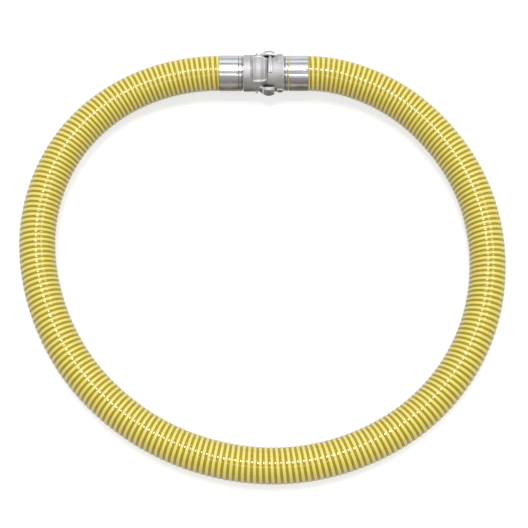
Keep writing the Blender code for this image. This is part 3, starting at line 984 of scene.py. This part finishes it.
def makeSleeveMaterial(finish):
    material, tree, shader = startMaterial("drawnSteel", [("Metallic", 1.0)])
    streaks = noise(tree, objectPlace(tree, finish["streakStretch"]), finish["streaks"], 4.0, 0.6)
    # painted shade in the creases
    crease = addGroup(tree, creaseShade, [
        ("Width", finish["creaseWidth"]), ("Open", finish["creaseOpen"]), ("Amount", finish["creaseAmount"])])
    colour = mixColours(tree, remap(tree, streaks, 0.35, 0.65, 0.0, 1.0), finish["dull"], finish["bright"])
    # painted shade low down
    colour = addUnderShade(tree, finish, colour)
    feed(tree, shader, "Base Color", mixColours(tree, crease.outputs["Mask"], colour, finish["creaseShadeColour"]))
    streaked = remap(tree, streaks, 0.3, 0.7, *finish["streakRoughness"])
    rough = calculate(tree, "ADD", streaked, finish["roughness"])
    dusty = remap(tree, addMarks(tree, finish)["Dust"], 0.0, 0.4, 0.0, finish["dustRoughness"])
    feed(tree, shader, "Roughness", calculate(tree, "ADD", rough, dusty))
    addBump(tree, shader, streaks, finish["streakDepth"], finish["streakStrength"])
    return material


rubberFinish = {
    "clean": (0.018, 0.018, 0.018, 1),
    "pale": (0.09, 0.085, 0.08, 1),
    "dust": 0.6,
    "dustPatch": 0.01,
    "roughness": (0.5, 0.7),
    "grainScale": 2200.0,
    "grainDepth": 0.0001,
    "grainStrength": 0.4,
}


def makeRubberMaterial(finish):
    material, tree, shader = startMaterial("blackRubber", [("IOR", 1.5)])
    marks = addMarks(tree, finish)
    feed(tree, shader, "Base Color", mixColours(tree, marks["Dust"], finish["clean"], finish["pale"]))
    feed(tree, shader, "Roughness", remap(tree, marks["Rub"], 0.1, 0.4, *finish["roughness"]))
    grain = noise(tree, objectPlace(tree), finish["grainScale"], 2.0)
    addBump(tree, shader, grain, finish["grainDepth"], finish["grainStrength"])
    return material


wireFinish = {
    "dark": (0.34, 0.33, 0.32, 1),
    "bright": (0.55, 0.54, 0.53, 1),
    "grainSize": 0.0006,
    "pits": 0.2,
    "roughness": (0.25, 0.42),
    "grainDepth": 0.00005,
    "grainStrength": 0.4,
}


def makeWireMaterial(finish):
    material, tree, shader = startMaterial("springWire", [("Metallic", 1.0)])
    grain = addGroup(tree, castGrain, [("Grain Size", finish["grainSize"]), ("Pits", finish["pits"])]).outputs
    feed(tree, shader, "Base Color", mixColours(tree, grain["Clouds"], finish["dark"], finish["bright"]))
    feed(tree, shader, "Roughness", remap(tree, grain["Clouds"], 0.3, 0.7, *finish["roughness"]))
    addBump(tree, shader, grain["Height"], finish["grainDepth"], finish["grainStrength"])
    return material


castMaterial = makeCastMaterial(castFinish)
sleeveMaterial = makeSleeveMaterial(sleeveFinish)
rubberMaterial = makeRubberMaterial(rubberFinish)
wireMaterial = makeWireMaterial(wireFinish)

hoseRibs.data.materials.append(makeHoseMaterial("yellowRib", ribFinish))
hoseWall.data.materials.append(makeHoseMaterial("oliveWall", wallFinish))
for side in sides:
    bodies[side].data.materials.append(castMaterial)
    rings[side].data.materials.append(castMaterial)
    sleeves[side].data.materials.append(sleeveMaterial)
    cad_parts[side + "_seal"].material_slots[0].material = rubberMaterial
    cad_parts[side + "_snap_ring"].material_slots[0].material = wireMaterial
print("stage: finishes made")

floorSetup = {
    "size": 160.0,
    "colour": (0.42, 0.42, 0.42, 1),
    "roughness": 0.9,
    "lift": 0.66,             # added for the camera and in reflections, so that the floor shows white
}


def makeFloor(setup):
    half = setup["size"] / 2
    corners = [(-half, -half, 0), (half, -half, 0), (half, half, 0), (-half, half, 0)]
    material, tree, shader = startMaterial("paleFloor", [
        ("Base Color", setup["colour"]), ("Roughness", setup["roughness"])])
    seen = addNode(tree, "ShaderNodeLightPath").outputs
    share = calculate(tree, "MAXIMUM", calculate(
        tree, "MAXIMUM", seen["Is Camera Ray"], seen["Is Glossy Ray"]), seen["Is Transmission Ray"])
    feed(tree, shader, "Emission Color", (1, 1, 1, 1))
    feed(tree, shader, "Emission Strength", calculate(tree, "MULTIPLY", share, setup["lift"]))
    floor = addPiece("floor", corners, [(0, 1, 2, 3)], material)


makeFloor(floorSetup)

# lamps: each leans from overhead towards +X and +Y as seen from the object
lampDistance = 5.0
lampSetup = {
    "overhead": {"lean": (-4, 27), "size": (2.8, 2.1), "power": 19, "colour": (1.0, 1.0, 1.0)},
    "back": {"lean": (0, 65), "size": (4.6, 1.5), "power": 19, "colour": (0.90, 0.95, 1.0)},
    "front": {"lean": (0, -26), "size": (2.4, 0.2), "power": 20, "colour": (1.0, 0.98, 0.95)},
}

# two small far lamps draw the thin bright lines along the hose; their width is as seen from the object
farLampSetup = {
    "key": {"lean": (-3.5, 8), "width": 12.5, "strength": 1.06, "colour": (1.0, 0.99, 0.97)},
    "window": {"lean": (32, 19), "width": 14.0, "strength": 0.46, "colour": (0.97, 0.99, 1.0)},
}

worldSetup = {
    "top": (1.00, 1.00, 1.02, 1),
    "back": (1.14, 1.16, 1.21, 1),
    "front": (0.76, 0.70, 0.61, 1),
    "frontToBack": (-0.6, 0.6),     # of the direction's Y, over which front turns into back
    "lowToTop": (0.1, 0.9),         # of its Z, over which the horizon turns into the top
    "strength": 0.565,
}


def addLamp(name, kind, setup, place):
    leanX, leanY = (math.radians(angle) for angle in setup["lean"])
    direction = Vector((math.tan(leanX), math.tan(leanY), 1)).normalized()
    data = bpy.data.lights.new(name, kind)
    data.color = setup["colour"]
    lamp = bpy.data.objects.new(name, data)
    lamp.location = place + direction * lampDistance
    lamp.rotation_euler = direction.to_track_quat("Z", "Y").to_euler()
    lamp.visible_camera = False
    bpy.context.scene.collection.objects.link(lamp)
    return data


def hangPanel(name, setup, place):
    data = addLamp(name, "AREA", setup, place)
    data.shape = "RECTANGLE"
    data.size, data.size_y = setup["size"]
    data.energy = setup["power"]


def hangFarLamp(name, setup, place):
    data = addLamp(name, "SUN", setup, place)
    data.angle = math.radians(setup["width"])
    data.energy = setup["strength"]


def makeWorld(setup):
    world = bpy.data.worlds.new("studio")
    world.use_nodes = True
    tree = world.node_tree
    tree.nodes.clear()
    direction = addNode(tree, "ShaderNodeTexCoord").outputs["Generated"]
    parts = addNode(tree, "ShaderNodeSeparateXYZ", (), [("Vector", direction)]).outputs
    facing = remap(tree, parts["Y"], *setup["frontToBack"], 0.0, 1.0)
    rising = remap(tree, parts["Z"], *setup["lowToTop"], 0.0, 1.0)
    colour = mixColours(tree, rising, mixColours(tree, facing, setup["front"], setup["back"]), setup["top"])
    background = addNode(tree, "ShaderNodeBackground", (), [
        ("Color", colour), ("Strength", setup["strength"])])
    output = addNode(tree, "ShaderNodeOutputWorld")
    tree.links.new(background.outputs[0], output.inputs["Surface"])
    bpy.context.scene.world = world


middle = (cadBox[0] + cadBox[1]) / 2
for name, setup in lampSetup.items():
    hangPanel(name, setup, middle)
for name, setup in farLampSetup.items():
    hangFarLamp(name, setup, middle)
makeWorld(worldSetup)
bpy.context.scene.view_settings.view_transform = "Standard"
print("stage: floor, lamps and world set")
